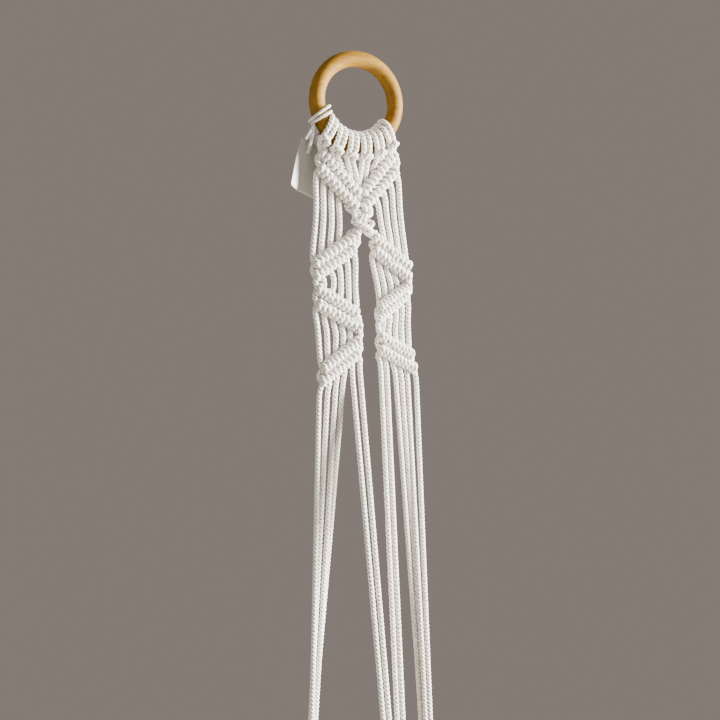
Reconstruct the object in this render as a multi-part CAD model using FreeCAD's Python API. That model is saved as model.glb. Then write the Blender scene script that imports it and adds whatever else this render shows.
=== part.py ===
"""Hanging macrame planter: a turned wooden ring, six folded cotton cords knotted into a flat
panel, three legs of four cords, a small net for a pot, a gathering knot and a fringe.

Millimetres. The origin is the inside top of the ring, where the hook bears. +Z is up, the ring
and the knotted panel lie in the XZ plane, and the front faces -Y.
"""
import FreeCAD
import Part
import math
import os

V = FreeCAD.Vector

# Stock sizes
CORD_D = 4.0
CORD_R = CORD_D / 2
RING_PATH_R = 29.5
RING_ROD_R = 5.5
RING_CENTRE_Z = RING_ROD_R - RING_PATH_R
TWINE_R = 1.1

# Mounting knots on the lower arc of the ring
KNOT_COUNT = 6
KNOT_PITCH_DEG = 18.4
KNOT_SHIFT_DEG = -2.5
KNOT_LEAN = 0.58
LOOP_HALF_ANGLE_DEG = 4.2
LOOP_PATH_R = 8.1
LOOP_TUBE_R = 1.6
BAR_R = 1.9
BAR_REACH = 7.7

# Knotted rows: a holding cord wrapped by double half hitches
ROW_R = 3.7
ROW_END = 2.0
GAP = 0.15

# Chevron: (outer end, middle end) of each row as (x, z)
CHEVRON_ROWS = {
    "chevron_upper_left": ((-27.8, -58.7), (0.0, -87.2)),
    "chevron_upper_right": ((29.0, -57.5), (0.8, -87.2)),
    "chevron_lower_left": ((-29.1, -69.4), (0.0, -98.0)),
    "chevron_lower_right": ((29.6, -68.9), (0.8, -98.0)),
}
SQUARE_KNOT_CENTRE = (1.8, -108.6)
SQUARE_KNOT_HALF_WIDTH = 8.8
SQUARE_KNOT_HALF_HEIGHT = 4.6

# The two side columns of the panel, each a zigzag of three double rows: ends as (x, z)
LEFT_BANDS = {
    "left_band_top": (((-2.8, -116.6), (-34.9, -136.0)), ((-4.0, -123.8), (-34.6, -144.3))),
    "left_band_middle": (((-33.2, -151.7), (-3.1, -169.6)), ((-33.5, -162.0), (-1.0, -179.8))),
    "left_band_bottom": (((-1.9, -187.5), (-30.5, -207.0)), ((-3.0, -195.9), (-32.0, -215.6))),
}
RIGHT_BANDS = {
    "right_band_top": (((10.5, -116.5), (38.0, -137.5)), ((10.5, -125.0), (35.5, -143.5))),
    "right_band_middle": (((35.0, -150.9), (13.5, -165.2)), ((35.3, -155.4), (11.7, -173.2))),
    "right_band_bottom": (((12.8, -184.5), (38.0, -199.0)), ((12.8, -193.6), (40.0, -208.4))),
}

# The loose cords that bridge two rows: x of each
UPPER_CORD_LANES = {"left": (-29.5, -24.5, -19.5, -14.5), "right": (17.0, 22.0, 27.0, 32.0)}
INNER_FLOAT_LANES = {"left": (-22.0, -17.0, -12.0, -7.0), "right": (15.0, 20.0, 25.0, 30.0)}
OUTER_FLOAT_LANES = {"left": (-27.0, -22.0, -17.0, -12.0), "right": (19.0, 24.0, 29.0, 34.0)}

# Legs: where each cord leaves the panel as (x, z), and the rim knot it runs to
RIM_KNOT_Z = -700.0
RIM_R = 65.5
RIM_ANGLES_DEG = {"left": 144.0, "front": -95.0, "right": 25.0}
LEG_STARTS = {
    "left": ((-33.4, -223.5), (-27.0, -219.5), (-20.9, -215.6), (-15.0, -212.0)),
    "front": ((-9.0, -208.0), (-3.2, -204.5), (13.0, -202.8), (18.0, -204.5)),
    "right": ((23.2, -207.2), (28.2, -209.8), (33.3, -212.4), (39.6, -216.5)),
}
RIM_KNOT_HALF_WIDTH = 9.0
RIM_KNOT_HALF_HEIGHT = 9.0
KNOT_THICKNESS = 9.0

# Net below the rim: how far apart the cords run, and how far they bow
NET_LANE = 4.4
NET_BOW = 6.5
NET_BULGE = 3.0
NET_LEAVE = 1.8
NET_ENTER = 1.5
BUNDLE_LANE = 4.2
NET_KNOT_Z = -765.0
NET_R = 58.0
POT_EDGE_Z = -815.0
POT_EDGE_R = 47.0
GATHER_TOP_Z = -836.0
GATHER_BOTTOM_Z = -872.0
GATHER_R = 12.3
BUNDLE_R = 8.2
FRINGE_R = 1.7

# Bottom cords below their net knot, as (turn in degrees for each lane, radius, height)
BOTTOM_LEAVE = 1.0
BOTTOM_ROUTE = (
    (9.0, POT_EDGE_R + 3.0, POT_EDGE_Z + 13.0),
    (12.0, POT_EDGE_R - 5.0, POT_EDGE_Z - 5.0),
    (24.0, 17.0, POT_EDGE_Z - 10.0),
    (30.0, BUNDLE_R, GATHER_TOP_Z + 3.5),
)

# Tag: upper left corner of its sheet, how it is turned and tilted, and where its hole is
TAG_CORNER = (-39.1, 7.0, -48.2)
TAG_YAW_DEG = 15.5
TAG_TILT_DEG = -20.4
TAG_WIDTH = 25.0
TAG_HEIGHT = 36.2
TAG_THICKNESS = 0.6
TAG_CORNER_CUT = 5.0
TAG_HOLE = (8.3, -8.4)
TAG_HOLE_R = 1.6
STRING_KNOT = (-33.6, -2.0, -46.4)
STRING_WRAP_ANGLES_DEG = (-68.5, -77.5)

# Routes of the free cord ends below the gathering knot: nine round the outside, three inside
FRINGE_ROUTES = (
    ((6.7, 0.0, -878), (8.8, 0.9, -927), (10.2, 0.4, -974), (12.9, -0.6, -1022), (13.8, 0.6, -1066)),
    ((5.1, 4.3, -878), (6.3, 6.2, -924), (8.9, 6.9, -976), (9.6, 8.8, -1030), (11.6, 9.2, -1081)),
    ((1.2, 6.6, -878), (1.4, 8.6, -926), (2.9, 10.1, -972), (2.2, 12.4, -1020), (3.6, 13.5, -1063)),
    ((-3.4, 5.8, -878), (-4.7, 7.1, -930), (-4.6, 9.6, -980), (-6.6, 10.4, -1033), (-6.8, 12.6, -1084)),
    ((-6.3, 2.3, -878), (-7.8, 3.5, -925), (-9.9, 3.3, -975), (-10.9, 5.0, -1026), (-13.0, 4.8, -1074)),
    ((-6.3, -2.3, -878), (-8.3, -2.4, -928), (-9.4, -4.1, -973),
     (-11.7, -3.9, -1021), (-12.3, -5.6, -1067)),
    ((-3.4, -5.8, -878), (-4.0, -7.9, -926), (-6.1, -8.7, -977),
     (-6.2, -11.2, -1030), (-8.1, -11.9, -1082)),
    ((1.2, -6.6, -878), (0.9, -8.8, -924), (2.3, -10.3, -970),
     (1.8, -12.6, -1018), (3.1, -13.9, -1062)),
    ((5.1, -4.3, -878), (7.0, -5.2, -929), (7.9, -7.3, -978), (10.0, -7.6, -1028), (10.6, -9.6, -1077)),
    ((2.3, 0.6, -878), (2.6, 1.8, -927), (4.1, 1.6, -976), (4.0, 3.2, -1027), (5.6, 2.9, -1079)),
    ((-1.7, 1.8, -878), (-2.6, 2.6, -925), (-2.4, 4.1, -972), (-3.9, 4.5, -1023), (-3.8, 6.0, -1070)),
    ((-0.6, -2.3, -878), (-0.3, -3.3, -928), (-1.4, -4.2, -979),
     (-0.9, -5.5, -1032), (-2.0, -6.3, -1086)),
)

SAVED = {}


def save(name, shape):
    """Write one sub-part and report its volume."""
    shape.exportStep(f"parts/{name}.step")
    SAVED[name] = shape
    print(f"{name}: {shape.Volume:.0f} mm3, {len(shape.Solids)} solids")


def rod(start, end, radius):
    """Solid round bar between two points."""
    return Part.makeCylinder(radius, start.distanceToPoint(end), start, end - start)


def capsule(start, end, radius):
    """Round bar with rounded ends whose outermost points are the two given points."""
    along = (end - start).normalize()
    a = start + along * radius
    b = end - along * radius
    return rod(a, b, radius).fuse([Part.makeSphere(radius, a), Part.makeSphere(radius, b)])


def flat(point):
    """Point of the panel's plane from (x, z)."""
    return V(point[0], 0, point[1])


def around(angle_deg, radius, z):
    """Point at an angle about the vertical axis, counted from +X towards +Y."""
    a = math.radians(angle_deg)
    return V(radius * math.cos(a), radius * math.sin(a), z)


def on_ring(angle_deg):
    """Point of the ring's centre line, at an angle from its lowest point."""
    a = math.radians(angle_deg)
    return V(RING_PATH_R * math.sin(a), 0, RING_CENTRE_Z - RING_PATH_R * math.cos(a))


def knot_angle(index):
    return KNOT_PITCH_DEG * (index - (KNOT_COUNT - 1) / 2) + KNOT_SHIFT_DEG


def hanging(index):
    """Direction in which a mounting knot hangs: straighter down than the ring's radius."""
    a = math.radians(KNOT_LEAN * knot_angle(index))
    return V(math.sin(a), 0, -math.cos(a))


def arc_tube(points, radius, name):
    """Tube along straight runs joined by tangent arcs as large as the runs allow."""
    edges = []
    radii = []
    start = points[0]
    for before, corner, after in zip(points, points[1:], points[2:]):
        back = (before - corner).normalize()
        ahead = (after - corner).normalize()
        shorter = min(corner.distanceToPoint(before), corner.distanceToPoint(after))
        half_turn = (math.pi - back.getAngle(ahead)) / 2
        set_back = 0.45 * shorter
        bend = set_back / math.tan(half_turn)
        a = corner + back * set_back
        b = corner + ahead * set_back
        inward = (back + ahead).normalize()
        centre = corner + inward * math.hypot(set_back, bend)
        edges.append(Part.LineSegment(start, a).toShape())
        edges.append(Part.Arc(a, centre - inward * bend, b).toShape())
        radii.append(round(bend, 1))
        start = b
    edges.append(Part.LineSegment(start, points[-1]).toShape())
    path = Part.Wire(edges)
    section = Part.Wire(Part.Circle(points[0], points[1] - points[0], radius).toShape())
    tube = path.makePipeShell([section], True, True)
    expected = math.pi * radius ** 2 * path.Length
    print(f"{name}: bend radii {radii} mm, volume/expected {tube.Volume / expected:.3f}")
    return tube


def wooden_ring():
    save("wooden_ring", Part.makeTorus(RING_PATH_R, RING_ROD_R, V(0, 0, RING_CENTRE_Z), V(0, 1, 0)))


def mounting_knot(index):
    """Lark's head: two loops round the rod and the bar that crosses in front of them."""
    down = hanging(index)
    loops = []
    ends = []
    for side in (-1, 1):
        centre = on_ring(knot_angle(index) + side * LOOP_HALF_ANGLE_DEG)
        loops.append(Part.makeTorus(LOOP_PATH_R, LOOP_TUBE_R, centre, V(-down.z, 0, down.x)))
        ends.append(centre + down * BAR_REACH + V(0, -BAR_REACH, 0))
    bar = rod(ends[0], ends[1], BAR_R)
    save(f"mounting_knot_{index + 1}", loops[0].fuse([loops[1], bar]))


def neck_cords(side, name):
    """The cords between the mounting knots and the chevron, one straight bar each."""
    outer, inner = CHEVRON_ROWS[f"chevron_upper_{side}"]
    slope = math.atan2(abs(inner[1] - outer[1]), abs(inner[0] - outer[0]))
    lift = (ROW_R + CORD_R * math.cos(slope) + 4 * GAP) / math.cos(slope)
    reach = LOOP_PATH_R + LOOP_TUBE_R + CORD_R + 4 * GAP
    bars = []
    for step in range(2, 6):
        cord = step if side == "left" else 2 * KNOT_COUNT - 1 - step
        knot = cord // 2
        half = LOOP_HALF_ANGLE_DEG if cord % 2 else -LOOP_HALF_ANGLE_DEG
        top = on_ring(knot_angle(knot) + half) + hanging(knot) * reach
        share = (step - 0.5) / 5
        foot = V(outer[0] + (inner[0] - outer[0]) * share, 0, outer[1] + (inner[1] - outer[1]) * share)
        foot.z += lift
        if top.z - foot.z > CORD_R:
            bars.append(rod(top, foot, CORD_R - GAP))
    save(name, Part.makeCompound(bars))


def half_space(sign, margin=0.1):
    """Large box on one side of the panel's middle plane."""
    size = 300.0
    corner_x = margin if sign > 0 else -margin - size
    return Part.makeBox(size, size, size, V(corner_x, -size / 2, -size))


def chevron_row(name):
    outer, inner = CHEVRON_ROWS[name]
    sign = math.copysign(1, outer[0])
    overshoot = (flat(inner) - flat(outer)).normalize() * (2 * ROW_R)
    bar = rod(flat(outer), flat(inner) + overshoot, ROW_R)
    tip = Part.makeSphere(ROW_R, flat(outer))
    save(name, bar.fuse(tip).common(half_space(sign)))


def square_knot(centre, half_width, half_height, thickness, outward):
    """Cushion-shaped block for a square knot, its flat face along outward."""
    across = V(0, 0, 1).cross(outward).normalize()
    end = across * (half_width - thickness / 2)
    up = V(0, 0, half_height - thickness / 2)
    bars = [capsule(centre + up * k - across * half_width, centre + up * k + across * half_width,
                    thickness / 2) for k in (-1, 1)]
    slab = Part.makeBox(2 * end.Length, thickness, 2 * up.Length)
    slab.translate(V(-end.Length, -thickness / 2, -up.Length))
    turn = math.degrees(math.atan2(across.y, across.x))
    slab.rotate(V(0, 0, 0), V(0, 0, 1), turn)
    slab.translate(centre)
    return bars[0].fuse([bars[1], slab])


def band(name, rows):
    """Two touching rows of hitches, joined where the cords pass from one to the next."""
    bars = []
    for a, b in rows:
        past = (flat(b) - flat(a)).normalize() * ROW_END
        bars.append(capsule(flat(a) - past, flat(b) + past, ROW_R))
    middles = [(flat(a) + flat(b)) * 0.5 for a, b in rows]
    link = rod(middles[0], middles[1], CORD_R)
    save(name, bars[0].fuse([bars[1], link]))


def floats(name, ends):
    """Unknotted cords that bridge two bands, one straight bar each."""
    save(name, Part.makeCompound([rod(flat(a), flat(b), CORD_R - GAP) for a, b in ends]))


def lane(row, x):
    """Height of a row's centre line at x."""
    (xa, za), (xb, zb) = row
    return za + (zb - za) * (x - xa) / (xb - xa)


def bridge(upper_row, lower_row, lanes):
    """Ends of the cords that run down from one row to the next, clear of both."""
    ends = []
    for x in lanes:
        lift = []
        for (xa, za), (xb, zb) in (upper_row, lower_row):
            slope = abs(math.atan2(zb - za, abs(xb - xa)))
            lift.append((ROW_R + GAP) / math.cos(slope) + CORD_R * math.tan(slope))
        top = lane(upper_row, x) - lift[0]
        foot = lane(lower_row, x) + lift[1]
        if top - foot > 1.0:
            ends.append(((x, top), (x, foot)))
    return ends


def rim_knot_centre(leg):
    return around(RIM_ANGLES_DEG[leg], RIM_R, RIM_KNOT_Z)


def outward(angle_deg):
    return around(angle_deg, 1.0, 0.0)


def leg_foot(leg, index):
    """Where a leg cord meets the top of its rim knot: the four enter side by side."""
    angle = RIM_ANGLES_DEG[leg]
    across = V(0, 0, 1).cross(outward(angle))
    order = 1 if leg == "front" else -1
    offset = order * (index - 1.5) * BUNDLE_LANE
    return rim_knot_centre(leg) + across * offset + V(0, 0, RIM_KNOT_HALF_HEIGHT + 4 * GAP)


def leg_cords(leg):
    bars = []
    for index, start in enumerate(LEG_STARTS[leg]):
        bars.append(rod(flat(start), leg_foot(leg, index), CORD_R))
    save(f"{leg}_leg_cords", Part.makeCompound(bars))


def net_angles():
    """Angles of the net knots, half-way between neighbouring legs."""
    angles = sorted(a % 360 for a in RIM_ANGLES_DEG.values())
    pairs = zip(angles, angles[1:] + [angles[0] + 360])
    return [((a + b) / 2) % 360 for a, b in pairs]


def net_cords():
    """Each leg's four cords part two and two towards the neighbouring net knots."""
    number = 1
    for leg, rim_angle in RIM_ANGLES_DEG.items():
        bars = []
        for net_angle in net_angles():
            turn = (net_angle - rim_angle + 180) % 360 - 180
            if abs(turn) > 90:
                continue
            side = math.copysign(1, turn)
            rim_across = V(0, 0, 1).cross(outward(rim_angle)) * side
            net_across = V(0, 0, 1).cross(outward(net_angle)) * side
            net_centre = around(net_angle, NET_R, NET_KNOT_Z)
            for lane_index in (0, 1):
                start = rim_knot_centre(leg) + rim_across * (NET_LANE * (lane_index + 0.5))
                start += V(0, 0, -RIM_KNOT_HALF_HEIGHT - NET_LEAVE)
                end = net_centre - net_across * (NET_LANE * (1.5 - lane_index))
                end += V(0, 0, RIM_KNOT_HALF_HEIGHT + NET_ENTER)
                middle_angle = rim_angle + turn / 2
                middle = around(middle_angle, (RIM_R + NET_R) / 2 + NET_BULGE, (start.z + end.z) / 2)
                middle += V(0, 0, (lane_index - 0.5) * NET_BOW)
                bars.append(arc_tube([start, middle, end], CORD_R - GAP, f"net_cord_{number}"))
                number += 1
        save(f"{leg}_net_cords", Part.makeCompound(bars))


def bottom_cords():
    """Four cords from each net knot go round the pot's lower edge to the gathering knot."""
    for group, net_angle in enumerate(net_angles()):
        bars = []
        for index in range(4):
            spread = index - 1.5
            across = V(0, 0, 1).cross(outward(net_angle))
            start = around(net_angle, NET_R, NET_KNOT_Z - RIM_KNOT_HALF_HEIGHT - BOTTOM_LEAVE)
            start += across * (spread * BUNDLE_LANE)
            route = [around(net_angle + spread * turn, radius, z) for turn, radius, z in BOTTOM_ROUTE]
            bars.append(arc_tube([start, *route], CORD_R - GAP, f"bottom_cord_{group + 1}_{index + 1}"))
        save(f"bottom_cords_{group + 1}", Part.makeCompound(bars))


def gathering_knot():
    height = GATHER_TOP_Z - GATHER_BOTTOM_Z
    base = V(0, 0, GATHER_BOTTOM_Z)
    outer = Part.makeCylinder(GATHER_R, height, base)
    core = Part.makeCylinder(BUNDLE_R + 0.1, height, base)
    save("gathering_wrap", outer.cut(core))
    save("cord_bundle", Part.makeCylinder(BUNDLE_R, height, base))


def fringe():
    """Free cord ends that hang below the gathering knot."""
    for index, route in enumerate(FRINGE_ROUTES):
        name = f"fringe_cord_{index + 1}"
        save(name, arc_tube([V(*point) for point in route], FRINGE_R, name))


def tag_point(x, z):
    """Point of the tag's sheet, x to the right and z up from its upper left corner."""
    tilt = math.radians(TAG_TILT_DEG)
    yaw = math.radians(TAG_YAW_DEG)
    across = x * math.cos(tilt) - z * math.sin(tilt)
    up = x * math.sin(tilt) + z * math.cos(tilt)
    return V(*TAG_CORNER) + V(across * math.cos(yaw), across * math.sin(yaw), up)


def swing_tag():
    """Small paper tag that hangs beside the panel, its hole near the top edge."""
    yaw = math.radians(TAG_YAW_DEG)
    rear = V(-math.sin(yaw), math.cos(yaw), 0)
    corners = [(0, 0), (TAG_WIDTH - TAG_CORNER_CUT, 0), (TAG_WIDTH, -TAG_CORNER_CUT),
               (TAG_WIDTH, -TAG_HEIGHT), (0, -TAG_HEIGHT)]
    points = [tag_point(*corner) for corner in corners]
    sheet = Part.Face(Part.makePolygon(points + [points[0]])).extrude(rear * TAG_THICKNESS)
    hole = Part.makeCylinder(TAG_HOLE_R, 10, tag_point(*TAG_HOLE) - rear * 5, rear)
    save("swing_tag", sheet.cut(hole))


def tag_string():
    """Twine wound twice round the ring's lower left, and the drop that carries the tag."""
    wraps = []
    for angle in STRING_WRAP_ANGLES_DEG:
        a = math.radians(angle)
        tangent = V(math.cos(a), 0, math.sin(a))
        wraps.append(Part.makeTorus(RING_ROD_R + TWINE_R + GAP, TWINE_R, on_ring(angle), tangent))
    save("tag_string_wraps", Part.makeCompound(wraps))
    knot = V(*STRING_KNOT)
    run = tag_point(*TAG_HOLE) - knot
    save("tag_string_drop", rod(knot, knot + run * (1 - 5 * TWINE_R / run.Length), TWINE_R))


def main():
    os.makedirs("parts", exist_ok=True)
    wooden_ring()
    for index in range(KNOT_COUNT):
        mounting_knot(index)
    neck_cords("left", "neck_cords_left")
    neck_cords("right", "neck_cords_right")
    for name in CHEVRON_ROWS:
        chevron_row(name)
    save("centre_square_knot", square_knot(flat(SQUARE_KNOT_CENTRE), SQUARE_KNOT_HALF_WIDTH,
         SQUARE_KNOT_HALF_HEIGHT, KNOT_THICKNESS, V(0, -1, 0)))
    for name, rows in {**LEFT_BANDS, **RIGHT_BANDS}.items():
        band(name, rows)
    for side, bands in (("left", LEFT_BANDS), ("right", RIGHT_BANDS)):
        top, middle, bottom = bands.values()
        chevron = CHEVRON_ROWS[f"chevron_lower_{side}"]
        floats(f"{side}_upper_cords", bridge(chevron, top[0], UPPER_CORD_LANES[side]))
        floats(f"{side}_inner_floats", bridge(top[1], middle[0], INNER_FLOAT_LANES[side]))
        floats(f"{side}_outer_floats", bridge(middle[1], bottom[0], OUTER_FLOAT_LANES[side]))
    for leg in LEG_STARTS:
        leg_cords(leg)
        save(f"{leg}_rim_knot", square_knot(rim_knot_centre(leg), RIM_KNOT_HALF_WIDTH,
             RIM_KNOT_HALF_HEIGHT, KNOT_THICKNESS, outward(RIM_ANGLES_DEG[leg])))
    net_cords()
    for number, angle in enumerate(net_angles()):
        save(f"net_knot_{number + 1}", square_knot(around(angle, NET_R, NET_KNOT_Z),
             RIM_KNOT_HALF_WIDTH, RIM_KNOT_HALF_HEIGHT, KNOT_THICKNESS, outward(angle)))
    bottom_cords()
    gathering_knot()
    fringe()
    swing_tag()
    tag_string()
    print(len(SAVED), "nodes")


main()
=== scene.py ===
"""Looks of a hanging macrame planter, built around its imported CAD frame.

Metres for everything that Blender is given; the knots' own shapes are worked out in millimetres and
scaled once, in rope(). The ring and the knotted panel lie in the XZ plane and the front faces -Y.
"""
import math

import bpy
import numpy as np
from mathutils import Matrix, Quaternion, Vector


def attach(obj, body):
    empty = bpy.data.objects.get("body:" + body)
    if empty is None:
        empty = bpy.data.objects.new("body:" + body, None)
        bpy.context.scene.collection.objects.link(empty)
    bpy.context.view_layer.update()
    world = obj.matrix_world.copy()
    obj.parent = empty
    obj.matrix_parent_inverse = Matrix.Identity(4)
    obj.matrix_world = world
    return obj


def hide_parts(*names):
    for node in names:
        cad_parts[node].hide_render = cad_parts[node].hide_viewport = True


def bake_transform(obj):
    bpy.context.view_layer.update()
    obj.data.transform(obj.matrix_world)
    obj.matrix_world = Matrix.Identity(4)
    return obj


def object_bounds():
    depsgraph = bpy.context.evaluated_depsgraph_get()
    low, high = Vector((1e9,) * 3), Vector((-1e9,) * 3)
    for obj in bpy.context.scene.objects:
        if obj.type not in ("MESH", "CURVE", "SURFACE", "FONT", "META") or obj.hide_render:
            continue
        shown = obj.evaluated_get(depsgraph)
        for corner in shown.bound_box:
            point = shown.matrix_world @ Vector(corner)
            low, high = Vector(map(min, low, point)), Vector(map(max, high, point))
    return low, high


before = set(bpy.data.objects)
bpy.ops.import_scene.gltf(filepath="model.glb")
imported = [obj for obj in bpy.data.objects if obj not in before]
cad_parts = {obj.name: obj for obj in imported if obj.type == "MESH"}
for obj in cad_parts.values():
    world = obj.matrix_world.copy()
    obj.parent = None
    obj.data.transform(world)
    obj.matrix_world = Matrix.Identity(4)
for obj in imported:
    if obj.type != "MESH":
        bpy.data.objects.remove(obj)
CAD_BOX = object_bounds()

MM = 0.001

# Cords, in millimetres: radius of a hanging cord, of a knotted one, and length of one full twist
CORD_R = 1.82
KNOTTED_CORD_R = 1.95
CORD_LAY = 8.5
TWINE_R = 1.1
TWINE_LAY = 3.6

# Ring, in millimetres: centre line radius, rod radius and height of its centre
RING_PATH_R = 29.5
RING_ROD_R = 5.5
RING_CENTRE_Z = RING_ROD_R - RING_PATH_R
KNOT_PITCH_DEG = 18.4
KNOT_SHIFT_DEG = -2.5
KNOT_LEAN = 0.58
KNOT_COUNT = 6

# Basket, in millimetres and degrees
RIM_Z = -700.0
RIM_R = 65.5
RIM_ANGLES = {"left": 144.0, "front": -95.0, "right": 25.0}
NET_Z = -765.0
NET_R = 58.0
POT_EDGE_R = 47.0
POT_EDGE_Z = -815.0
KNOT_HALF_HEIGHT = 9.0
GATHER_TOP_Z = -836.0
GATHER_BOTTOM_Z = -872.0


# ---------------------------------------------------------------- camera, lights and stage

AZIMUTH = math.radians(-25.0)
CAMERA_DISTANCE = 0.9
CAMERA_Z = -0.2010
ACROSS_SHIFT = -0.0021
ROLL_DEG = -1.5
LENS_MM = 65.6


def camera_direction(azimuth, elevation=0.0):
    """Unit vector from the object to a viewer at that azimuth and elevation."""
    return np.array([math.sin(azimuth) * math.cos(elevation),
                     -math.cos(azimuth) * math.cos(elevation), math.sin(elevation)])


def aim(obj, place, target, roll=0.0):
    """Points an object's -Z axis at a target."""
    away = Vector(target) - Vector(place)
    turn = away.to_track_quat("-Z", "Y") @ Quaternion((0, 0, 1), roll)
    obj.location = place
    obj.rotation_mode = "QUATERNION"
    obj.rotation_quaternion = turn


def make_camera():
    data = bpy.data.cameras.new("camera")
    data.lens = LENS_MM
    data.sensor_width = 36.0
    camera = bpy.data.objects.new("camera", data)
    bpy.context.collection.objects.link(camera)
    right = np.array([math.cos(AZIMUTH), math.sin(AZIMUTH), 0.0])
    target = np.array([0.0, 0.0, CAMERA_Z]) + right * ACROSS_SHIFT
    place = target + camera_direction(AZIMUTH) * CAMERA_DISTANCE
    aim(camera, place, target, math.radians(ROLL_DEG))
    bpy.context.scene.camera = camera


def area_light(name, azimuth, elevation, distance, size, power, colour):
    data = bpy.data.lights.new(name, "AREA")
    data.shape = "RECTANGLE"
    data.size = size[0]
    data.size_y = size[1]
    data.energy = power
    data.color = colour
    light = bpy.data.objects.new(name, data)
    bpy.context.collection.objects.link(light)
    target = np.array([0.0, 0.0, -0.3])
    place = target + camera_direction(math.radians(azimuth), math.radians(elevation)) * distance
    aim(light, place, target)


def make_lights():
    area_light("key", 65, 10, 1.5, (0.35, 1.2), 290.0, (1.0, 0.985, 0.95))
    area_light("fill", -60, 12, 1.8, (1.0, 1.4), 16.0, (1.0, 0.96, 0.90))
    area_light("back", 170, 35, 2.0, (1.2, 1.0), 10.0, (1.0, 0.97, 0.93))
    world = bpy.data.worlds.new("studio")
    world.use_nodes = True
    background = world.node_tree.nodes["Background"]
    background.inputs["Color"].default_value = (0.235, 0.202, 0.178, 1)
    background.inputs["Strength"].default_value = 1.0
    bpy.context.scene.world = world


FLOOR_HALF = 1.5
FLOOR_GAP = 0.06


def make_floor():
    half = FLOOR_HALF
    z = CAD_BOX[0][2] - FLOOR_GAP
    mesh = bpy.data.meshes.new("floor")
    mesh.from_pydata([(-half, -half, z), (half, -half, z), (half, half, z), (-half, half, z)],
                     [], [(0, 1, 2, 3)])
    floor = bpy.data.objects.new("floor", mesh)
    bpy.context.collection.objects.link(floor)
    material = bpy.data.materials.new("floor_plaster")
    material.use_nodes = True
    shader = material.node_tree.nodes["Principled BSDF"]
    shader.inputs["Base Color"].default_value = (0.45, 0.43, 0.40, 1)
    shader.inputs["Roughness"].default_value = 0.9
    mesh.materials.append(material)


# ---------------------------------------------------------------- materials

class Nodes:
    """Short hand for building one material's node tree."""

    def __init__(self, name):
        self.material = bpy.data.materials.new(name)
        self.material.use_nodes = True
        self.tree = self.material.node_tree
        self.shader = self.tree.nodes["Principled BSDF"]

    def add(self, kind, **settings):
        node = self.tree.nodes.new(kind)
        for key, value in settings.items():
            setattr(node, key, value)
        return node

    def link(self, a, b):
        self.tree.links.new(a, b)

    def mapped(self, source, scale):
        """The coordinates from a socket, stretched by scale along each axis."""
        mapping = self.add("ShaderNodeMapping")
        mapping.inputs["Scale"].default_value = scale
        self.link(source, mapping.inputs["Vector"])
        return mapping.outputs["Vector"]

    def noise(self, vector, scale, detail=3.0, roughness=0.5):
        node = self.add("ShaderNodeTexNoise")
        node.inputs["Scale"].default_value = scale
        node.inputs["Detail"].default_value = detail
        node.inputs["Roughness"].default_value = roughness
        self.link(vector, node.inputs["Vector"])
        return node.outputs["Fac"]

    def ramp(self, source, stops):
        """A colour ramp: stops are (position, colour)."""
        node = self.add("ShaderNodeValToRGB")
        ramp = node.color_ramp
        while len(ramp.elements) < len(stops):
            ramp.elements.new(0.5)
        for element, (position, colour) in zip(ramp.elements, stops):
            element.position = position
            element.color = (*colour, 1)
        self.link(source, node.inputs["Fac"])
        return node.outputs["Color"]

    def multiply(self, a, b):
        node = self.add("ShaderNodeMix", data_type="RGBA", blend_type="MULTIPLY")
        node.inputs["Factor"].default_value = 1.0
        self.link(a, node.inputs["A"])
        self.link(b, node.inputs["B"])
        return node.outputs["Result"]

    def bump(self, height, strength, distance, normal=None):
        node = self.add("ShaderNodeBump")
        node.inputs["Strength"].default_value = strength
        node.inputs["Distance"].default_value = distance
        self.link(height, node.inputs["Height"])
        if normal is not None:
            self.link(normal, node.inputs["Normal"])
        return node.outputs["Normal"]


def cotton(name, light, painted_groove_shade, fibre_scale):
    """Soft spun cotton: fine fibres along each strand, with painted shade in the grooves, where the
    colour turns warmer and darker.
    """
    n = Nodes(name)
    fibre = n.add("ShaderNodeAttribute", attribute_name="fibre").outputs["Vector"]
    crest = n.add("ShaderNodeAttribute", attribute_name="crest").outputs["Fac"]
    place = n.add("ShaderNodeTexCoord").outputs["Object"]
    fine = n.noise(n.mapped(fibre, (1, 1, 0.22)), fibre_scale, 4.0, 0.65)
    coarse = n.noise(n.mapped(fibre, (1, 1, 0.5)), fibre_scale * 0.3, 2.0, 0.5)
    patches = n.noise(place, 55.0, 2.0, 0.5)
    # painted shade: the colour darkens from the strand crests into the grooves between the strands
    base = n.ramp(crest, [(0.0, painted_groove_shade), (0.62, light), (1.0, light)])
    flecks = n.ramp(fine, [(0.25, (0.80, 0.77, 0.72)), (0.6, (1, 1, 1)), (1.0, (1, 1, 1))])
    drift = n.ramp(patches, [(0.3, (0.94, 0.92, 0.88)), (0.7, (1, 1, 1)), (1.0, (1, 1, 1))])
    colour = n.multiply(n.multiply(base, flecks), drift)
    n.link(colour, n.shader.inputs["Base Color"])
    soft = n.bump(coarse, 0.5, 0.0006)
    n.link(n.bump(fine, 0.7, 0.0003, soft), n.shader.inputs["Normal"])
    n.shader.inputs["Roughness"].default_value = 0.92
    n.shader.inputs["Specular IOR Level"].default_value = 0.2
    n.shader.inputs["Sheen Weight"].default_value = 0.35
    n.shader.inputs["Sheen Roughness"].default_value = 0.5
    return n.material


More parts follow.
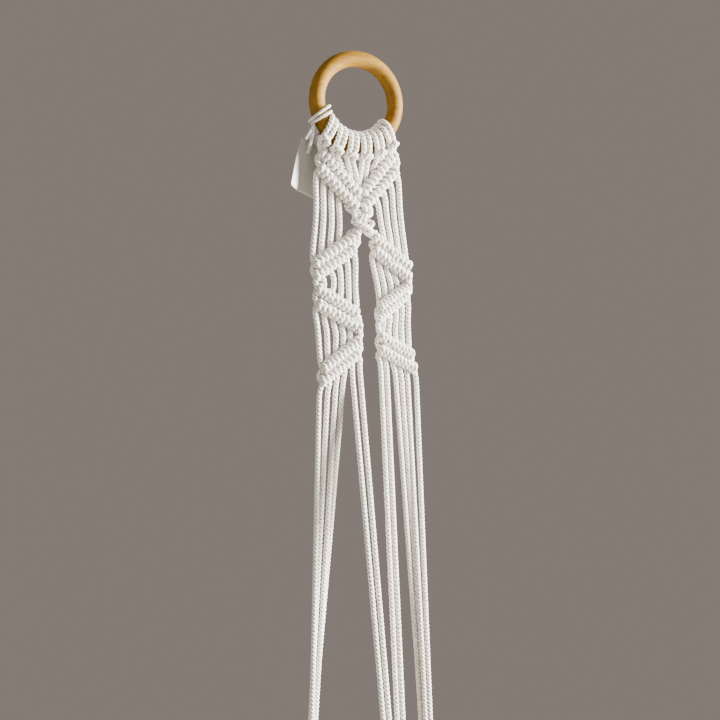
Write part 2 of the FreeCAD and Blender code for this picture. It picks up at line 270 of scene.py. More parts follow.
def honey_wood():
    """Turned beech with a honey lacquer: long grain lines, pores and a soft gloss."""
    n = Nodes("honey_wood")
    place = n.add("ShaderNodeTexCoord").outputs["Object"]
    grain = n.noise(n.mapped(place, (30, 220, 220)), 1.6, 5.0, 0.6)
    bands = n.noise(n.mapped(place, (12, 60, 60)), 1.0, 3.0, 0.5)
    pores = n.noise(n.mapped(place, (60, 900, 900)), 1.5, 2.0, 0.5)
    base = n.ramp(bands, [(0.25, (0.17, 0.082, 0.008)), (0.55, (0.23, 0.118, 0.012)),
                          (0.8, (0.29, 0.160, 0.022))])
    lines = n.ramp(grain, [(0.3, (0.78, 0.68, 0.56)), (0.55, (1, 1, 1)), (1.0, (1, 1, 1))])
    specks = n.ramp(pores, [(0.28, (0.62, 0.5, 0.4)), (0.4, (1, 1, 1)), (1.0, (1, 1, 1))])
    colour = n.multiply(n.multiply(base, lines), specks)
    n.link(colour, n.shader.inputs["Base Color"])
    rough = n.add("ShaderNodeMapRange")
    rough.inputs["To Min"].default_value = 0.48
    rough.inputs["To Max"].default_value = 0.66
    n.link(grain, rough.inputs["Value"])
    n.link(rough.outputs["Result"], n.shader.inputs["Roughness"])
    n.link(n.bump(pores, 0.25, 0.0002), n.shader.inputs["Normal"])
    n.shader.inputs["Specular IOR Level"].default_value = 0.1
    n.shader.inputs["Coat Weight"].default_value = 0.03
    n.shader.inputs["Coat Roughness"].default_value = 0.35
    return n.material


def tag_paper():
    """Uncoated card with a faint fibre and a slight mottle; its mid grey base colour is painted shade
    on a white card.
    """
    n = Nodes("tag_paper")
    place = n.add("ShaderNodeTexCoord").outputs["Object"]
    pulp = n.noise(n.mapped(place, (900, 900, 600)), 1.0, 5.0, 0.7)
    mottle = n.noise(place, 90.0, 3.0, 0.6)
    # painted shade: the white card's colour is darkened to a mid grey so that it looks shaded
    base = n.ramp(mottle, [(0.2, (0.46, 0.45, 0.41)), (0.8, (0.54, 0.53, 0.49)),
                           (1.0, (0.56, 0.55, 0.51))])
    fibres = n.ramp(pulp, [(0.3, (0.93, 0.92, 0.90)), (0.6, (1, 1, 1)), (1.0, (1, 1, 1))])
    n.link(n.multiply(base, fibres), n.shader.inputs["Base Color"])
    n.link(n.bump(pulp, 0.3, 0.0001), n.shader.inputs["Normal"])
    n.shader.inputs["Roughness"].default_value = 0.7
    return n.material


# ---------------------------------------------------------------- rope engine

def spline_points(points):
    """Points read from the NURBS spline whose control points are given, in the same unit."""
    data = bpy.data.curves.new("route", "CURVE")
    data.dimensions = "3D"
    spline = data.splines.new("NURBS")
    spline.points.add(len(points) - 1)
    for control, point in zip(spline.points, points):
        control.co = (point[0], point[1], point[2], 1.0)
    spline.order_u = 3
    spline.use_endpoint_u = True
    spline.resolution_u = 12
    holder = bpy.data.objects.new("route", data)
    mesh = bpy.data.meshes.new_from_object(holder)
    line = np.array([v.co for v in mesh.vertices], float)
    bpy.data.objects.remove(holder)
    bpy.data.meshes.remove(mesh)
    bpy.data.curves.remove(data)
    return line


def evenly(line, step):
    """The same line with evenly spaced points."""
    gaps = np.linalg.norm(np.diff(line, axis=0), axis=1)
    along = np.concatenate([[0.0], np.cumsum(gaps)])
    keep = np.concatenate([[True], gaps > 1e-6])
    along, line = along[keep], line[keep]
    count = max(3, int(round(along[-1] / step)) + 1)
    at = np.linspace(0.0, along[-1], count)
    return np.stack([np.interp(at, along, line[:, k]) for k in range(3)], axis=1), at


def carried_frames(line):
    """Tangent, normal and binormal at each point, carried along with no twist of their own."""
    tangents = np.gradient(line, axis=0)
    tangents /= np.linalg.norm(tangents, axis=1)[:, None]
    normal = np.cross(tangents[0], (0.0, 1.0, 0.0))
    if np.linalg.norm(normal) < 0.1:
        normal = np.cross(tangents[0], (1.0, 0.0, 0.0))
    normals = np.empty_like(tangents)
    for i, tangent in enumerate(tangents):
        normal = normal - tangent * np.dot(normal, tangent)
        normal = normal / np.linalg.norm(normal)
        normals[i] = normal
    return tangents, normals, np.cross(tangents, normals)


STRANDS = 3
STRAND_OFFSET = 0.42
STRAND_RADIUS = 0.60
POINTS_PER_STRAND = 6


def strand_section():
    """Outline of a rope of radius 1: angles and radii of three touching strands."""
    angles, radii = [], []
    widest = math.pi / STRANDS
    for strand in range(STRANDS):
        for k in range(POINTS_PER_STRAND):
            off = -widest + 2 * widest * k / POINTS_PER_STRAND
            reach = STRAND_OFFSET * math.cos(off)
            reach += math.sqrt(STRAND_RADIUS ** 2 - (STRAND_OFFSET * math.sin(off)) ** 2)
            angles.append(2 * math.pi * strand / STRANDS + off)
            radii.append(reach / (STRAND_OFFSET + STRAND_RADIUS))
    return np.array(angles), np.array(radii)


def sweep(line, radius, lay, step, swell=None):
    """Vertices, faces and attributes of a twisted rope along a line of points."""
    line, along = evenly(line, step)
    tangents, normals, binormals = carried_frames(line)
    angles, radii = strand_section()
    turned = angles[None, :] - 2 * math.pi * along[:, None] / lay
    size = np.full(len(line), radius) if swell is None else radius * swell(along / along[-1])
    reach = radii[None, :] * size[:, None]
    verts = (line[:, None, :] + normals[:, None, :] * (reach * np.cos(turned))[:, :, None]
             + binormals[:, None, :] * (reach * np.sin(turned))[:, :, None])
    rows, cols = reach.shape
    faces = [(i * cols + j, i * cols + (j + 1) % cols, (i + 1) * cols + (j + 1) % cols,
              (i + 1) * cols + j) for i in range(rows - 1) for j in range(cols)]
    faces.append(tuple(range(cols - 1, -1, -1)))
    faces.append(tuple(range((rows - 1) * cols, rows * cols)))
    fibre = np.stack([np.broadcast_to(radius * np.cos(angles), reach.shape),
                      np.broadcast_to(radius * np.sin(angles), reach.shape),
                      np.broadcast_to(along[:, None], reach.shape)], axis=2)
    low = radii.min()
    crest = np.broadcast_to((radii - low) / (1 - low), reach.shape)
    return verts.reshape(-1, 3), faces, fibre.reshape(-1, 3), crest.reshape(-1), line


# A frayed end: where its hairs are rooted, where it starts to thin (share of the cord) and by how much
FRAY_BACK = 5.0
FRAY_START = 0.972
FRAY_LOSS = 0.45
HAIR_R = 0.17
HAIR_STEPS = 4


def fray_taper(share):
    """A cord's end thins where its fibres come loose."""
    return 1.0 - FRAY_LOSS * np.clip((share - FRAY_START) / (1.0 - FRAY_START), 0.0, 1.0)


def hairs(centre, direction, spread, count, length, seed):
    """Thin loose fibres that fan out of a cord's cut end."""
    rng = np.random.default_rng(seed)
    verts, faces = [], []
    side = np.cross(direction, (0.0, 1.0, 0.0))
    side /= np.linalg.norm(side)
    other = np.cross(direction, side)
    for _ in range(count):
        angle = rng.uniform(0, 2 * math.pi)
        root = math.sqrt(rng.uniform(0, 1)) * CORD_R * 0.8
        lean = side * math.cos(angle) + other * math.sin(angle)
        reach = length * rng.uniform(0.6, 1.0)
        fan = spread * rng.uniform(0.2, 1.0)
        base = len(verts)
        for k in range(HAIR_STEPS + 1):
            share = k / HAIR_STEPS
            point = centre + direction * (reach * share - FRAY_BACK)
            point = point + lean * (root + fan * share ** 1.6)
            thick = HAIR_R * (1 - 0.5 * share)
            for corner in range(3):
                a = 2 * math.pi * corner / 3
                verts.append(point + thick * (side * math.cos(a) + other * math.sin(a)))
        for k in range(HAIR_STEPS):
            for corner in range(3):
                a = base + 3 * k + corner
                b = base + 3 * k + (corner + 1) % 3
                faces.append((a, b, b + 3, a + 3))
        faces.append((base + 2, base + 1, base))
        tip = base + 3 * HAIR_STEPS
        faces.append((tip, tip + 1, tip + 2))
    return verts, faces


def mesh_object(name, verts, faces, material, fibre=None, crest=None):
    """A smooth mesh in the scene, from millimetres."""
    mesh = bpy.data.meshes.new(name)
    mesh.from_pydata([tuple(v) for v in np.asarray(verts) * MM], [], faces)
    if fibre is not None:
        mesh.attributes.new("fibre", "FLOAT_VECTOR", "POINT").data.foreach_set(
            "vector", np.asarray(fibre, np.float32).reshape(-1))
        mesh.attributes.new("crest", "FLOAT", "POINT").data.foreach_set(
            "value", np.asarray(crest, np.float32))
    mesh.polygons.foreach_set("use_smooth", [True] * len(mesh.polygons))
    mesh.materials.append(material)
    mesh.update()
    obj = bpy.data.objects.new(name, mesh)
    bpy.context.collection.objects.link(obj)
    return obj


def rope(name, points, material, radius=CORD_R, lay=CORD_LAY, step=0.9, frayed=None, swell=None):
    """A twisted cord along control points in millimetres. Returns the object and its centre line."""
    verts, faces, fibre, crest, line = sweep(spline_points(points), radius, lay, step, swell)
    if frayed is not None:
        direction = line[-1] - line[-4]
        direction /= np.linalg.norm(direction)
        more, extra = hairs(line[-1], direction, 1.2, 60, FRAY_BACK + 3.0, frayed)
        base = len(verts)
        verts = np.vstack([verts, more])
        faces += [tuple(base + k for k in face) for face in extra]
        fibre = np.vstack([fibre, np.zeros((len(more), 3))])
        crest = np.concatenate([crest, np.ones(len(more))])
    return mesh_object(name, verts, faces, material, fibre, crest), line


# ---------------------------------------------------------------- knots

class Row:
    """A row of double half hitches: cords wound twice each round a holding cord.

    A working cord comes in above its hitch and leaves below it, entry and leave of the way along.
    """

    TIE_R = 3.4
    CLEAR = 4.8
    COUNT = 5

    def __init__(self, start, end, holder, workers, entry=0.7, leave=0.2):
        self.start = np.array([start[0], 0.0, start[1]])
        end = np.array([end[0], 0.0, end[1]])
        self.length = np.linalg.norm(end - self.start)
        self.along = (end - self.start) / self.length
        self.up = np.array([-self.along[2], 0.0, self.along[0]])
        if self.up[2] < 0:
            self.up = -self.up
        self.holder = holder
        self.workers = workers
        self.entry = entry
        self.leave = leave

    def at(self, s, n, y):
        return self.start + self.along * s + self.up * n + np.array([0.0, y, 0.0])

    def holding(self):
        """The holding cord runs hidden inside the hitches."""
        return [self.at(self.length * k, 0, 0) for k in (0.0, 0.35, 0.7, 1.0)]

    def tie(self, slot):
        """One cord's two turns: up in front, over and down behind, twice."""
        pitch = self.length / self.COUNT
        first = pitch * (slot + 0.75)
        second = pitch * (slot + 0.25)
        r = self.TIE_R
        turns = [(pitch * (slot + self.entry), self.CLEAR, 1.8), (first, 0, r),
                 (first + 0.7, -r, 0.2)]
        turns += [(first, 0, -r), (first - 0.7, r, 0), ((first + second) / 2, 0, r)]
        turns += [(second + 0.7, -r, 0), (second, 0, -r), (second - 0.7, r, 0)]
        turns += [(second, 0, r), (pitch * (slot + self.leave), -self.CLEAR, 1.7)]
        return [self.at(*turn) for turn in turns]


def mirrored(numbers):
    """The same cords counted from the right-hand side."""
    return [11 - n for n in numbers]


# Each row: start (x, z), end (x, z), holding cord, tied cords in order from the start
CHEVRON = [
    Row((-27.8, -58.7), (0.4, -87.8), 0, [1, 2, 3, 4, 5]),
    Row((29.0, -57.5), (2.6, -87.6), 11, mirrored([1, 2, 3, 4, 5])),
    Row((-29.1, -69.4), (-1.6, -97.0), 1, [2, 3, 4, 5, 0]),
    Row((29.6, -68.9), (1.8, -98.0), 10, mirrored([2, 3, 4, 5, 0])),
]
COLUMNS = [
    Row((-1.0, -114.5), (-34.9, -136.0), 1, [0, 5, 4, 3, 2]),
    Row((10.5, -116.5), (38.0, -137.5), 10, mirrored([0, 5, 4, 3, 2]), entry=0.1),
    Row((-4.0, -123.8), (-34.6, -144.3), 0, [5, 4, 3, 2, 1]),
    Row((10.5, -125.0), (37.6, -145.0), 11, mirrored([5, 4, 3, 2, 1]), entry=0.2),
    Row((-33.2, -151.7), (-3.1, -169.6), 0, [1, 2, 3, 4, 5]),
    Row((37.2, -149.6), (13.5, -165.2), 11, mirrored([1, 2, 3, 4, 5]), entry=0.25),
    Row((-33.5, -162.0), (-1.0, -179.8), 1, [2, 3, 4, 5, 0]),
    Row((35.3, -155.4), (11.7, -173.2), 10, mirrored([2, 3, 4, 5, 0]), entry=0.25),
    Row((-1.9, -187.5), (-30.5, -207.0), 1, [0, 5, 4, 3, 2]),
    Row((12.8, -184.5), (38.0, -199.0), 10, mirrored([0, 5, 4, 3, 2]), entry=0.25),
    Row((-3.0, -195.9), (-32.0, -215.6), 0, [5, 4, 3, 2, 1]),
    Row((12.8, -193.6), (40.0, -208.4), 11, mirrored([5, 4, 3, 2, 1]), entry=0.25),
]

# Loose stretches bow a little between their knots: cord number to (x, y, z) after that many rows
BOWS_ABOVE_COLUMNS = {
    2: (-31.5, 0.6, -100), 3: (-26.3, 0.4, -104), 4: (-20.0, 0.8, -106), 5: (-14.4, 0.2, -107),
    6: (16.2, 0.4, -106), 7: (21.2, 0.6, -104), 8: (26.2, 0.3, -102), 9: (31.4, 0.6, -100),
}
BOWS_UPPER = {
    2: (-19.8, 0.6, -147.5), 3: (-14.8, 0.4, -149), 4: (-9.2, 0.8, -150), 5: (-4.6, 0.4, -152),
    6: (11.9, 0.4, -146), 7: (17.1, 0.7, -146), 8: (22.5, 0.4, -146), 9: (27.7, 0.6, -147),
}
BOWS_LOWER = {
    2: (-33.0, 0.5, -178), 3: (-26.0, 0.7, -181), 4: (-19.2, 0.4, -183), 5: (-13.6, 0.6, -184),
    6: (20.0, 0.6, -181), 7: (25.2, 0.4, -180), 8: (30.2, 0.8, -178), 9: (35.2, 0.4, -176),
}

# Square knot, as (right, back, up) from its top middle: the two tying cords
KNOT_LEFT = ((-6.3, 0, 0), (-6.9, -4.6, -2.6), (-5.2, 1.0, -5.4), (0, 4.9, -6.2), (5.4, 1.4, -6.0),
             (7.2, -3.6, -7.6), (5.4, 1.0, -10.6), (0, 4.9, -11.4), (-5.4, 1.2, -11.4),
             (-6.3, 0, -13.4))
KNOT_RIGHT = ((6.3, 0, 0), (5.4, -3.2, -1.6), (0, -5.6, -3.4), (-5.4, -3.4, -4.6), (-7.4, 0, -6.4),
              (-5.4, -3.4, -8.4), (0, -5.6, -9.6), (5.4, -3.2, -11.6), (6.3, 0, -13.4))
KNOT_CORE = ((0, 0, 0), (0, -0.4, -4.5), (0, -0.4, -9.0), (0, 0, -13.4))

KNOT_DROP = 13.4
CENTRE_KNOT_TOP = (1.8, 0.0, -99.9)
CORE_SPREAD = 2.0

# Lark's head, as (outwards, front, along the ring): from the tail up to the middle of the bar
LARK_HALF = ((12.0, 2.2, 2.1), (8.8, 4.2, 2.1), (4.3, 7.7, 2.1), (-4.4, 7.6, 2.1), (-8.7, 0, 2.0),
             (-4.4, -7.6, 2.2), (4.4, -7.6, 2.4), (8.8, -1.6, 2.6), (9.9, 4.6, 2.9),
             (9.2, 8.4, 2.6), (9.0, 8.6, 0.9))


def lark_half(knot, side):
    """Points of half a lark's head on the ring, from the tail to the bar.

    The outer knots hang a little straighter than the ring's radius, so they lean over its rod.
    """
    angle = KNOT_PITCH_DEG * (knot - (KNOT_COUNT - 1) / 2) + KNOT_SHIFT_DEG
    a = math.radians(angle)
    lean = KNOT_LEAN * a
    centre = np.array([RING_PATH_R * math.sin(a), 0.0, RING_CENTRE_Z - RING_PATH_R * math.cos(a)])
    down = np.array([math.sin(lean), 0.0, -math.cos(lean)]) / math.cos(a - lean)
    along = np.array([math.cos(a), 0.0, math.sin(a)])
    front = np.array([0.0, -1.0, 0.0])
    return [centre + down * u + front * f + along * (side * w) for u, f, w in LARK_HALF]


def knot_points(shape, top, right, front, across=0.0, scale=1.0):
    """A knot's points placed with its top middle at a point, facing front."""
    up = np.array([0.0, 0.0, 1.0])
    return [top + right * (x + across) - front * y + up * (z * scale) for x, y, z in shape]


def panel_routes():
    """Control points of the twelve half cords from the ring to the last row."""
    routes = {}
    for knot in range(KNOT_COUNT):
        for side in (-1, 1):
            routes[2 * knot + (side + 1) // 2] = lark_half(knot, side)[::-1]

    def work(rows, last=()):
        for row in rows:
            points = row.holding()
            if row is CHEVRON[1]:
                points = points[1:]
            routes[row.holder] += points[:-1] if row in last else points
            for slot, cord in enumerate(row.workers):
                tied = row.tie(slot)
                routes[cord] += tied[:-1] if row in last else tied

    def bow(points):
        for cord, point in points.items():
            routes[cord].append(np.array(point, float))

    work(CHEVRON)
    top = np.array(CENTRE_KNOT_TOP)
    right, front = np.array([1.0, 0, 0]), np.array([0, -1.0, 0])
    routes[0] += knot_points(KNOT_LEFT, top, right, front)
    routes[11] += knot_points(KNOT_RIGHT, top, right, front)
    routes[1] += knot_points(KNOT_CORE, top, right, front, -CORE_SPREAD)
    routes[10] += knot_points(KNOT_CORE, top, right, front, CORE_SPREAD)
    bow(BOWS_ABOVE_COLUMNS)
    work(COLUMNS[:4])
    bow(BOWS_UPPER)
    work(COLUMNS[4:8])
    bow(BOWS_LOWER)
    work(COLUMNS[8:], COLUMNS[10:])
    return routes


# ---------------------------------------------------------------- pieces of the panel

def make_panel(material):
    """Six cords, each folded over the ring and knotted down to the end of the panel."""
    routes = panel_routes()
    shown = {
        0: ["mounting_knot_1", "chevron_upper_left", "left_band_top", "left_band_middle",
            "left_band_bottom", "centre_square_knot"],
        1: ["mounting_knot_2", "chevron_lower_left", "neck_cords_left", "left_upper_cords",
            "left_inner_floats", "left_outer_floats"],
        2: ["mounting_knot_3"],
        3: ["mounting_knot_4"],
        4: ["mounting_knot_5", "chevron_lower_right", "neck_cords_right", "right_upper_cords",
            "right_inner_floats", "right_outer_floats"],
        5: ["mounting_knot_6", "chevron_upper_right", "right_band_top", "right_band_middle",
            "right_band_bottom"],
    }
    for knot in range(KNOT_COUNT):
        points = routes[2 * knot][::-1] + routes[2 * knot + 1]
        cord, _ = rope(f"folded_cord_{knot + 1}", points, material, KNOTTED_CORD_R)
        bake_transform(cord)
        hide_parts(*shown[knot])


# ---------------------------------------------------------------- pieces of the basket

def around(angle_deg, radius, z):
    a = math.radians(angle_deg)
    return np.array([radius * math.cos(a), radius * math.sin(a), z])


def outward(angle_deg):
    return around(angle_deg, 1.0, 0.0)


def tangent(angle_deg):
    """Horizontal unit vector towards growing angles."""
    return around(angle_deg + 90.0, 1.0, 0.0)


def net_angles():
    angles = sorted(a % 360 for a in RIM_ANGLES.values())
    return [((a + b) / 2) % 360 for a, b in zip(angles, angles[1:] + [angles[0] + 360])]


# Where each cord leaves the panel, as (x, z)
LEG_STARTS = {
    "left": ((-33.4, -222.0), (-27.0, -219.5), (-20.7, -215.0), (-14.8, -211.5)),
    "front": ((-8.7, -207.5), (-2.9, -204.0), (13.2, -202.4), (17.8, -205.0)),
    "right": ((24.2, -207.6), (29.0, -210.2), (33.8, -213.0), (40.6, -216.0)),
}
# Half-way down, the cords of a leg cling together: (share of the way, x shift, spacing, depth)
LEG_GATHER = {
    "left": (0.56, 1.6, 2.0, 1.3),
    "front": (0.56, 1.0, 3.9, 0.0),
    "right": (0.50, 2.8, 2.0, 1.3),
}
LANE = 4.2
KNOT_INSET = 1.6
FOOT_RISE = 1.0
NET_REACH = 2.5
NET_BULGE = 3.0
NET_BOW = 3.2
# The cords below a net knot, as (turn in degrees for each lane, radius, height)
BOTTOM_ROUTE = (
    (9.0, POT_EDGE_R + 3.0, POT_EDGE_Z + 13.0),
    (12.0, POT_EDGE_R - 5.0, POT_EDGE_Z - 5.0),
    (24.0, 17.0, POT_EDGE_Z - 10.0),
    (30.0, 8.0, GATHER_TOP_Z + 2.0),
    (30.0, 6.6, GATHER_TOP_Z - 6.0),
    (30.0, 6.0, GATHER_TOP_Z - 14.0),
)


def hidden_start(cord):
    """The cord's first points, inside and behind the panel's last row."""
    last = COLUMNS[-2] if cord < KNOT_COUNT else COLUMNS[-1]
    if cord == last.holder:
        return [last.at(last.length - 5.0, 0, 0), last.at(last.length - 1.0, 0, 0.3),
                last.at(last.length + 1.4, -2.6, 0.2)]
    slot = last.workers.index(cord)
    s = last.length / last.COUNT * (slot + 0.25)
    return [last.at(s, 0.5, 1.7), last.at(s - 0.2, -2.2, 1.7), last.at(s - 0.3, -5.0, 1.2)]


def square_knot_cord(lane, centre, angle):
    """One of four cords through a square knot; lane counts from -1.5 to 1.5 along the tangent."""
    top = centre + np.array([0.0, 0.0, KNOT_HALF_HEIGHT - KNOT_INSET])
    right = tangent(angle)
    front = outward(angle)
    scale = 2 * (KNOT_HALF_HEIGHT - KNOT_INSET) / KNOT_DROP
    if lane < -1:
        return knot_points(KNOT_LEFT, top, right, front, scale=scale)
    if lane > 1:
        return knot_points(KNOT_RIGHT, top, right, front, scale=scale)
    return knot_points(KNOT_CORE, top, right, front, lane * LANE, scale)


def basket_route(leg, index):
    """Control points of one cord from the panel to the inside of the gathering knot."""
    angle = RIM_ANGLES[leg]
    order = 1 if leg == "front" else -1
    lane = order * (index - 1.5)
    number = {"left": 0, "front": 4, "right": 8}[leg] + index
    start = LEG_STARTS[leg][index]
    start = np.array([start[0], 0.0, start[1]])
    rim = around(angle, RIM_R, RIM_Z)
    foot = rim + tangent(angle) * (lane * LANE) + np.array([0.0, 0.0, KNOT_HALF_HEIGHT + FOOT_RISE])
    share, shift, spacing, depth = LEG_GATHER[leg]
    starts = np.array(LEG_STARTS[leg]).mean(axis=0)
    axis = np.array([starts[0], 0.0, starts[1]])
    layer = outward(angle) * (depth if index % 2 else -depth)
    bundle = tangent(angle) * (lane * spacing) + layer
    gather = axis + (rim - axis) * share + np.array([shift, 0.0, 0.0]) + bundle
    low = rim + bundle + (axis - rim) * 0.08
    points = hidden_start(number)
    points += [start, start + (gather - start) * 0.08, start + (gather - start) * 0.5, gather]
    points += [(gather + low) * 0.5, low, foot + (gather - low) * 0.01, foot]
    points += square_knot_cord(lane, rim, angle)

    side = 1.0 if lane > 0 else -1.0
    turns = [((n - angle + 180) % 360 - 180, n) for n in net_angles()]
    turn, net_angle = [t for t in turns if abs(t[0]) < 90 and t[0] * side > 0][0]
    outer = abs(lane) > 1
    net = around(net_angle, NET_R, NET_Z)
    net_lane = -side * (0.5 if outer else 1.5)
    leave = rim + tangent(angle) * (lane * LANE) + np.array([0.0, 0.0, -KNOT_HALF_HEIGHT - NET_REACH])
    enter = net + tangent(net_angle) * (net_lane * LANE)
    enter = enter + np.array([0.0, 0.0, KNOT_HALF_HEIGHT + NET_REACH])
    middle = around(angle + turn / 2, (RIM_R + NET_R) / 2 + NET_BULGE, (leave[2] + enter[2]) / 2)
    middle[2] += NET_BOW if outer else -NET_BOW
    points += [leave, middle, enter]
    points += square_knot_cord(net_lane, net, net_angle)

    return points + [around(net_angle + net_lane * per_lane, radius, z)
                     for per_lane, radius, z in BOTTOM_ROUTE]


def make_basket(material):
    """Twelve cords from the panel down the legs, through the net and into the gathering knot."""
    for number, leg in enumerate(("left", "front", "right"), 1):
        nodes = [f"{leg}_leg_cords", f"{leg}_rim_knot", f"{leg}_net_cords",
                 f"bottom_cords_{number}", f"net_knot_{number}"]
        for index in range(4):
            cord, _ = rope(f"{leg}_leg_cord_{index + 1}", basket_route(leg, index), material)
            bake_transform(cord)
            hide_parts(*nodes)


WRAP_R = 10.3


def make_gathering_wrap(material):
    """The wrap cord: close turns round the bundle, its ends tucked inside."""
    turns = 8
    per_turn = 12
    path_r = WRAP_R / math.cos(math.pi / per_turn) ** 2
    low, high = GATHER_BOTTOM_Z + 2.0, GATHER_TOP_Z - 2.0
    points = [around(0, 5.0, low + 4.0), around(12, 8.2, low + 1.4)]
    for k in range(turns * per_turn + 1):
        share = k / (turns * per_turn)
        points.append(around(30 + k * 360 / per_turn, path_r, low + (high - low) * share))
    points += [around(60, 8.0, high - 0.6), around(75, 5.0, high - 4.0)]
    wrap, _ = rope("gathering_wrap_cord", points, material)
    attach(wrap, "basket")
    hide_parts("gathering_wrap", "cord_bundle")


# Routes of the free ends below the gathering knot, in metres
FRINGE_ROUTES = (
    ((0.0067, 0.0, -0.878), (0.0088, 0.0009, -0.927), (0.0102, 0.0004, -0.974),
     (0.0129, -0.0006, -1.022), (0.0138, 0.0006, -1.066)),
    ((0.0051, 0.0043, -0.878), (0.0063, 0.0062, -0.924), (0.0089, 0.0069, -0.976),
     (0.0096, 0.0088, -1.030), (0.0116, 0.0092, -1.081)),
    ((0.0012, 0.0066, -0.878), (0.0014, 0.0086, -0.926), (0.0029, 0.0101, -0.972),
     (0.0022, 0.0124, -1.020), (0.0036, 0.0135, -1.063)),
    ((-0.0034, 0.0058, -0.878), (-0.0047, 0.0071, -0.930), (-0.0046, 0.0096, -0.980),
     (-0.0066, 0.0104, -1.033), (-0.0068, 0.0126, -1.084)),
    ((-0.0063, 0.0023, -0.878), (-0.0078, 0.0035, -0.925), (-0.0099, 0.0033, -0.975),
     (-0.0109, 0.0050, -1.026), (-0.0130, 0.0048, -1.074)),
    ((-0.0063, -0.0023, -0.878), (-0.0083, -0.0024, -0.928), (-0.0094, -0.0041, -0.973),
     (-0.0117, -0.0039, -1.021), (-0.0123, -0.0056, -1.067)),
    ((-0.0034, -0.0058, -0.878), (-0.0040, -0.0079, -0.926), (-0.0061, -0.0087, -0.977),
     (-0.0062, -0.0112, -1.030), (-0.0081, -0.0119, -1.082)),
    ((0.0012, -0.0066, -0.878), (0.0009, -0.0088, -0.924), (0.0023, -0.0103, -0.970),
     (0.0018, -0.0126, -1.018), (0.0031, -0.0139, -1.062)),
    ((0.0051, -0.0043, -0.878), (0.0070, -0.0052, -0.929), (0.0079, -0.0073, -0.978),
     (0.0100, -0.0076, -1.028), (0.0106, -0.0096, -1.077)),
    ((0.0023, 0.0006, -0.878), (0.0026, 0.0018, -0.927), (0.0041, 0.0016, -0.976),
     (0.0040, 0.0032, -1.027), (0.0056, 0.0029, -1.079)),
    ((-0.0017, 0.0018, -0.878), (-0.0026, 0.0026, -0.925), (-0.0024, 0.0041, -0.972),
     (-0.0039, 0.0045, -1.023), (-0.0038, 0.0060, -1.070)),
    ((-0.0006, -0.0023, -0.878), (-0.0003, -0.0033, -0.928), (-0.0014, -0.0042, -0.979),
     (-0.0009, -0.0055, -1.032), (-0.0020, -0.0063, -1.086)),
)


def make_fringe(material):
    """Free cord ends, with frayed tips; they leave the gathering knot."""
    for index, route in enumerate(FRINGE_ROUTES):
        first = route[0]
        points = [(first[0], first[1], -0.867)] + list(route)
        points = [np.array(point) / MM for point in points]
        name = f"fringe_cord_{index + 1}"
        cord, line = rope(f"{name}_rope", points, material, frayed=100 + index,
                          swell=fray_taper)
        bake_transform(cord)
        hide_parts(name)


# ---------------------------------------------------------------- tag and its string

TAG_CORNER = np.array([-38.7, 7.0, -48.2])
TAG_YAW = math.radians(15.5)
TAG_TILT = math.radians(-20.4)
TAG_WIDTH = 25.0
TAG_HEIGHT = 36.2
TAG_CORNER_CUT = 5.0
TAG_HOLE = (8.3, -8.4)
TAG_HOLE_R = 1.5
TAG_THICKNESS = 0.35
TAG_KNOT = (-33.6, -2.0, -43.6)
# The card's curl: how far in from its left edge, from how far down, and how deep
CURL_WIDTH = 9.0
CURL_START = 14.0
SIDE_CURL = 1.1
CORNER_CURL = 2.6
WAVE = 0.25


def tag_point(x, z, back=0.0):
    """A point of the tag's sheet, from its upper left corner: it hangs tilted and curls forwards."""
    left = max(0.0, 1.0 - x / CURL_WIDTH)
    low = max(0.0, (-z - CURL_START) / (TAG_HEIGHT - CURL_START))
    curl = SIDE_CURL * left ** 2 + CORNER_CURL * left * low
    curl += WAVE * math.sin(x * 0.3 + z * 0.1)
    c, s = math.cos(TAG_TILT), math.sin(TAG_TILT)
    across, up = x * c - z * s, x * s + z * c
    right = np.array([math.cos(TAG_YAW), math.sin(TAG_YAW), 0.0])
    rear = np.array([-math.sin(TAG_YAW), math.cos(TAG_YAW), 0.0])
    return TAG_CORNER + right * across + rear * (back - curl) + np.array([0.0, 0.0, up])


def tag_outline():
    """Outline of the flat tag; the upper right corner is cut off."""
    w, h, cut = TAG_WIDTH, TAG_HEIGHT, TAG_CORNER_CUT
    return [(w, -h), (w, -cut), (w - cut, 0.0), (0.0, 0.0), (0.0, -h)]


def make_tag(material):
    """Thin curled card with a punched hole, as rings of points from the rim to the hole."""
    corners = tag_outline()
    rim = []
    for (xa, za), (xb, zb) in zip(corners, corners[1:] + corners[:1]):
        steps = max(2, int(math.hypot(xb - xa, zb - za) / 1.2))
        rim += [(xa + (xb - xa) * k / steps, za + (zb - za) * k / steps) for k in range(steps)]
    hx, hz = TAG_HOLE
    hole = []
    for x, z in rim:
        reach = math.hypot(x - hx, z - hz)
        hole.append((hx + (x - hx) / reach * TAG_HOLE_R, hz + (z - hz) / reach * TAG_HOLE_R))
    rings = 22
    count = len(rim)
    verts = []
    for back in (0.0, TAG_THICKNESS):
        for k in range(rings + 1):
            share = (k / rings) ** 0.8
            verts += [tag_point(a[0] + (b[0] - a[0]) * share, a[1] + (b[1] - a[1]) * share, back)
                      for a, b in zip(rim, hole)]
    faces = []
    layer = (rings + 1) * count
    for k in range(rings):
        for j in range(count):
            a, b = k * count + j, k * count + (j + 1) % count
            c, d = b + count, a + count
            faces.append((a, d, c, b))
            faces.append((layer + a, layer + b, layer + c, layer + d))
    for base in (0, rings * count):
        for j in range(count):
            a, b = base + j, base + (j + 1) % count
            edge = (a, b, layer + b, layer + a)
            faces.append(edge if base == 0 else edge[::-1])
    tag = mesh_object("paper_tag", verts, faces, material)
    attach(tag, "tag")
    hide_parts("swing_tag")


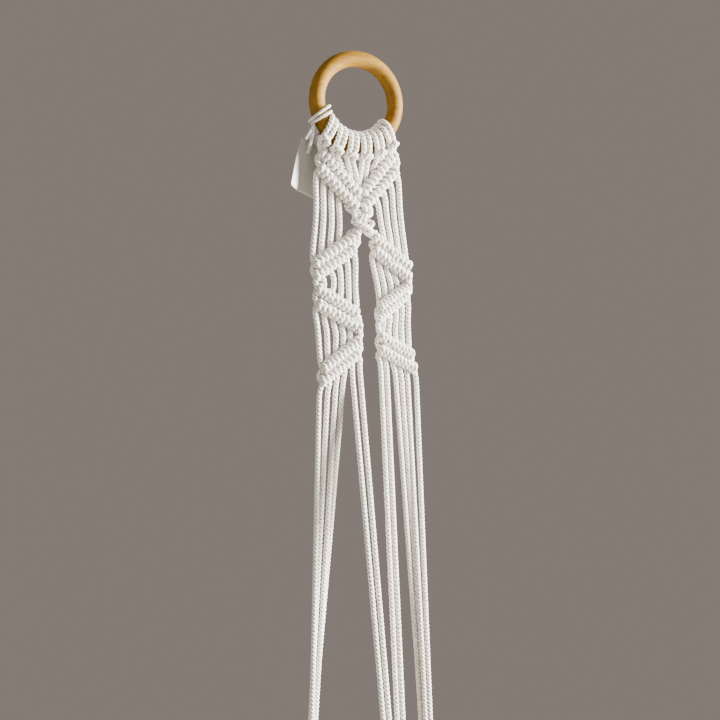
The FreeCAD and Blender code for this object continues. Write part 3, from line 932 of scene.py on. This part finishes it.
def ring_wrap(angle_deg, section_deg, radius):
    """A point round the ring's rod: section_deg counts from the front over the outside."""
    a = math.radians(angle_deg)
    centre = np.array([RING_PATH_R * math.sin(a), 0.0, RING_CENTRE_Z - RING_PATH_R * math.cos(a)])
    outwards = np.array([math.sin(a), 0.0, -math.cos(a)])
    b = math.radians(section_deg)
    front = np.array([0.0, -1.0, 0.0])
    return centre + (front * math.cos(b) + outwards * math.sin(b)) * radius


def make_tag_string(material):
    """Twine twice round the ring, knotted, then down through the tag's hole and back."""
    reach = (RING_ROD_R + TWINE_R) / math.cos(math.pi / 6) ** 2 * 1.02
    points = []
    for section in np.linspace(-170, 450, 12):
        angle = np.interp(section, (-210, -90, 90, 270, 450), (-74, -81, -66, -69, -64))
        points.append(ring_wrap(angle, section, reach))
    knot = np.array(TAG_KNOT)
    hole = tag_point(*TAG_HOLE)
    middle = knot + (hole - knot) * 0.55
    points += [knot + np.array([1.2, 0.4, 1.6]), knot + np.array([-1.4, -1.0, 0.2])]
    points += [knot + np.array([0.6, -1.2, -1.4]), knot + np.array([1.2, 0.6, 0.4])]
    points += [knot + np.array([-1.2, 0.6, -0.6]), middle + np.array([0.3, -1.2, 0])]
    points += [hole + np.array([0.4, -2.2, 1.6]), hole + np.array([0, 0.2, -0.4])]
    points += [hole + np.array([0.9, 2.2, 1.6]), middle + np.array([1.4, 2.2, 0])]
    points += [knot + np.array([0.9, 0.8, -1.0])]
    string, _ = rope("tag_string", points, material, TWINE_R, TWINE_LAY, 0.45)
    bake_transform(string)
    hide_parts("tag_string_wraps", "tag_string_drop")
    ends = (((0, 0, 0), (-2.0, -1.2, -2.0), (-3.6, -1.0, -4.4), (-6.0, -0.6, -8.0)),
            ((0.4, 0, 0), (-0.6, -1.4, -3.6), (-1.6, -1.2, -7.6), (-3.2, -0.8, -12.2)))
    for number, route in enumerate(ends):
        tail, _ = rope(f"tag_string_end_{number + 1}", [knot + np.array(p) for p in route],
                       material, TWINE_R, TWINE_LAY, 0.45)
        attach(tail, "ring")


def make_ring(material):
    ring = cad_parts["wooden_ring"]
    for place in ring.material_slots:
        place.material = material
    ring.data.polygons.foreach_set("use_smooth", [True] * len(ring.data.polygons))


make_camera()
# the second colour is the painted shade in the grooves between the strands
cord_cotton = cotton("cord_cotton", (0.90, 0.88, 0.83), (0.41, 0.34, 0.24), 6.0)
make_fringe(cord_cotton)
make_panel(cord_cotton)
make_basket(cord_cotton)
make_gathering_wrap(cord_cotton)
make_ring(honey_wood())
make_tag(tag_paper())
# the second colour is the painted shade in the grooves between the strands
make_tag_string(cotton("twine_cotton", (0.86, 0.85, 0.81), (0.50, 0.46, 0.38), 9.0))
make_lights()
make_floor()
